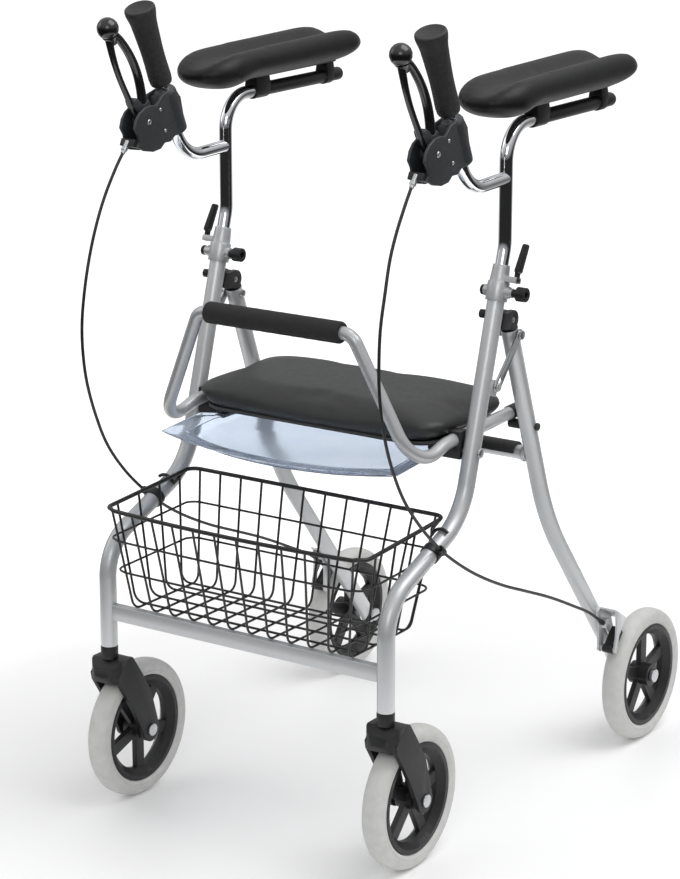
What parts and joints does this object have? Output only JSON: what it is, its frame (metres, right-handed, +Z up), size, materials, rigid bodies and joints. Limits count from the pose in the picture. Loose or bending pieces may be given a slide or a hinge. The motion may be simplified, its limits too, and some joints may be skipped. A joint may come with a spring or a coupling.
{
  "type": "upright walker",
  "caption": "Upright walker: folding tube frame on wheels with forearm pads, upright grips, hand brakes, padded seat, lifting hoop, pull-out tray and wire basket.",
  "frame": {"origin": "On the floor, under the middle of the walker's box.", "axes": "+Z up, the walker rolls towards -Y with its casters in front, +X is the user's left."},
  "size_m": [0.5792, 0.795, 1.128],
  "materials": {
    "frame_paint": "satin",
    "steel": "satin",
    "chrome": "polished",
    "black_plastic": "matte",
    "gloss_black": "gloss",
    "housing_grey": "satin",
    "grip_rubber": "matte",
    "vinyl": "satin",
    "foam": "matte",
    "tray_plastic": "satin",
    "basket_wire": "satin",
    "tyre": "matte",
    "rim_plastic": "satin",
    "cable_sheath": "satin"
  },
  "bodies": {
    "front_frame": {"front_leg_left": "frame_paint", "front_leg_right": "frame_paint", "front_crossbar": "frame_paint", "clamp_collars": "frame_paint", "clamp_knobs": "black_plastic", "hinge_knuckles": "black_plastic", "stay_tabs": "frame_paint", "frame_bolts": "steel", "cable_clips": "black_plastic", "caster_sockets": "black_plastic", "brake_cable_left": "cable_sheath", "brake_cable_right": "cable_sheath"},
    "rear_frame": {"rear_leg_left": "frame_paint", "rear_leg_right": "frame_paint", "rear_crossbar": "frame_paint", "seat_rest_pads": "grip_rubber", "hinge_plugs": "black_plastic", "brake_brackets": "frame_paint", "rear_axles": "steel", "rest_buffers": "grip_rubber", "stay_bolts": "steel"},
    "seat_frame": {"seat_hoop": "frame_paint", "hoop_foam": "foam", "seat_pivot_blocks": "black_plastic", "seat_board": "black_plastic", "seat_cushion": "vinyl", "hoop_end_caps": "black_plastic", "tray_runners": "black_plastic"},
    "tray": {"tray": "tray_plastic"},
    "basket": {"basket": "basket_wire"},
    "stay_left": {"stay_left": "steel"},
    "rear_wheel_left": {"rear_tyre_left": "tyre", "rear_rim_left": "rim_plastic"},
    "caster_left": {"caster_fork_left": "black_plastic", "caster_pins_left": "steel"},
    "front_wheel_left": {"front_tyre_left": "tyre", "front_rim_left": "rim_plastic"},
    "arm_left": {"arm_post_left": "chrome", "hand_grip_left": "grip_rubber", "brake_housing_left": "housing_grey", "arm_pad_left": "vinyl", "pad_base_left": "black_plastic"},
    "brake_lever_left": {"brake_lever_left": "gloss_black"},
    "clamp_lever_left": {"clamp_lever_left": "black_plastic"},
    "brake_arm_left": {"brake_arm_left": "black_plastic"},
    "stay_right": {"stay_right": "steel"},
    "rear_wheel_right": {"rear_tyre_right": "tyre", "rear_rim_right": "rim_plastic"},
    "caster_right": {"caster_fork_right": "black_plastic", "caster_pins_right": "steel"},
    "front_wheel_right": {"front_tyre_right": "tyre", "front_rim_right": "rim_plastic"},
    "arm_right": {"arm_post_right": "chrome", "hand_grip_right": "grip_rubber", "brake_housing_right": "housing_grey", "arm_pad_right": "vinyl", "pad_base_right": "black_plastic"},
    "brake_lever_right": {"brake_lever_right": "gloss_black"},
    "clamp_lever_right": {"clamp_lever_right": "black_plastic"},
    "brake_arm_right": {"brake_arm_right": "black_plastic"}
  },
  "joints": [
    {"name": "frame_fold", "type": "hinge", "parent": "front_frame", "child": "rear_frame", "pos_m": [0, -0.065, 0.713], "axis": [-1, 0, 0], "range_deg": [0, 25], "deforming": ["brake_cable_left", "brake_cable_right"]},
    {"name": "seat_tilt", "type": "hinge", "parent": "front_frame", "child": "seat_frame", "pos_m": [0, -0.148, 0.545], "axis": [-1, 0, 0], "range_deg": [0, 9]},
    {"name": "tray_slide", "type": "slide", "parent": "seat_frame", "child": "tray", "axis": [0, -1, 0], "range_m": [0, 0.15]},
    {"name": "basket_lift", "type": "slide", "parent": "front_frame", "child": "basket", "axis": [0, 0, 1], "range_m": [0, 0.04]},
    {"name": "stay_left_swing", "type": "hinge", "parent": "rear_frame", "child": "stay_left", "pos_m": [0.2457, -0.051, 0.69], "axis": [1, 0, 0], "range_deg": [0, 28.75]},
    {"name": "rear_wheel_left_spin", "type": "hinge", "parent": "rear_frame", "child": "rear_wheel_left", "pos_m": [0.2645, 0.2975, 0.1], "axis": [1, 0, 0], "continuous": true},
    {"name": "caster_left_swivel", "type": "hinge", "parent": "front_frame", "child": "caster_left", "pos_m": [0.231, -0.357, 0.24], "axis": [0, 0, 1], "continuous": true},
    {"name": "front_wheel_left_spin", "type": "hinge", "parent": "caster_left", "child": "front_wheel_left", "pos_m": [0.231, -0.2975, 0.1], "axis": [1, 0, 0], "continuous": true},
    {"name": "arm_left_height", "type": "slide", "parent": "front_frame", "child": "arm_left", "axis": [0, 0.2813, 0.9596], "range_m": [0, 0.13], "deforming": ["brake_cable_left"]},
    {"name": "brake_lever_left_squeeze", "type": "hinge", "parent": "arm_left", "child": "brake_lever_left", "pos_m": [0.231, -0.262, 0.966], "axis": [-1, 0, 0], "range_deg": [0, 11], "stiffness_Nm_per_rad": 2.5, "springref_deg": -8.59},
    {"name": "brake_arm_left_press", "type": "hinge", "parent": "rear_frame", "child": "brake_arm_left", "pos_m": [0.2645, 0.204, 0.1654], "axis": [-1, 0, 0], "range_deg": [0, 4]},
    {"name": "clamp_lever_left_open", "type": "hinge", "parent": "front_frame", "child": "clamp_lever_left", "pos_m": [0.257, -0.0816, 0.772], "axis": [0, 0.9596, -0.2813], "range_deg": [0, 90]},
    {"name": "stay_right_swing", "type": "hinge", "parent": "rear_frame", "child": "stay_right", "pos_m": [-0.2457, -0.051, 0.69], "axis": [1, 0, 0], "range_deg": [0, 28.75]},
    {"name": "rear_wheel_right_spin", "type": "hinge", "parent": "rear_frame", "child": "rear_wheel_right", "pos_m": [-0.2645, 0.2975, 0.1], "axis": [1, 0, 0], "continuous": true},
    {"name": "caster_right_swivel", "type": "hinge", "parent": "front_frame", "child": "caster_right", "pos_m": [-0.231, -0.357, 0.24], "axis": [0, 0, 1], "continuous": true},
    {"name": "front_wheel_right_spin", "type": "hinge", "parent": "caster_right", "child": "front_wheel_right", "pos_m": [-0.231, -0.2975, 0.1], "axis": [1, 0, 0], "continuous": true},
    {"name": "arm_right_height", "type": "slide", "parent": "front_frame", "child": "arm_right", "axis": [0, 0.2813, 0.9596], "range_m": [0, 0.13], "deforming": ["brake_cable_right"]},
    {"name": "brake_lever_right_squeeze", "type": "hinge", "parent": "arm_right", "child": "brake_lever_right", "pos_m": [-0.231, -0.262, 0.966], "axis": [-1, 0, 0], "range_deg": [0, 11], "stiffness_Nm_per_rad": 2.5, "springref_deg": -8.59},
    {"name": "brake_arm_right_press", "type": "hinge", "parent": "rear_frame", "child": "brake_arm_right", "pos_m": [-0.2645, 0.204, 0.1654], "axis": [-1, 0, 0], "range_deg": [0, 4]},
    {"name": "clamp_lever_right_open", "type": "hinge", "parent": "front_frame", "child": "clamp_lever_right", "pos_m": [-0.257, -0.0816, 0.772], "axis": [0, -0.9596, 0.2813], "range_deg": [0, 90]}
  ],
  "couplings": [
    {"joint": "seat_tilt", "follows": "frame_fold", "ratio": 0.36},
    {"joint": "stay_left_swing", "follows": "frame_fold", "ratio": 1.15},
    {"joint": "brake_arm_left_press", "follows": "brake_lever_left_squeeze", "ratio": 0.3636},
    {"joint": "stay_right_swing", "follows": "frame_fold", "ratio": 1.15},
    {"joint": "brake_arm_right_press", "follows": "brake_lever_right_squeeze", "ratio": 0.3636}
  ]
}
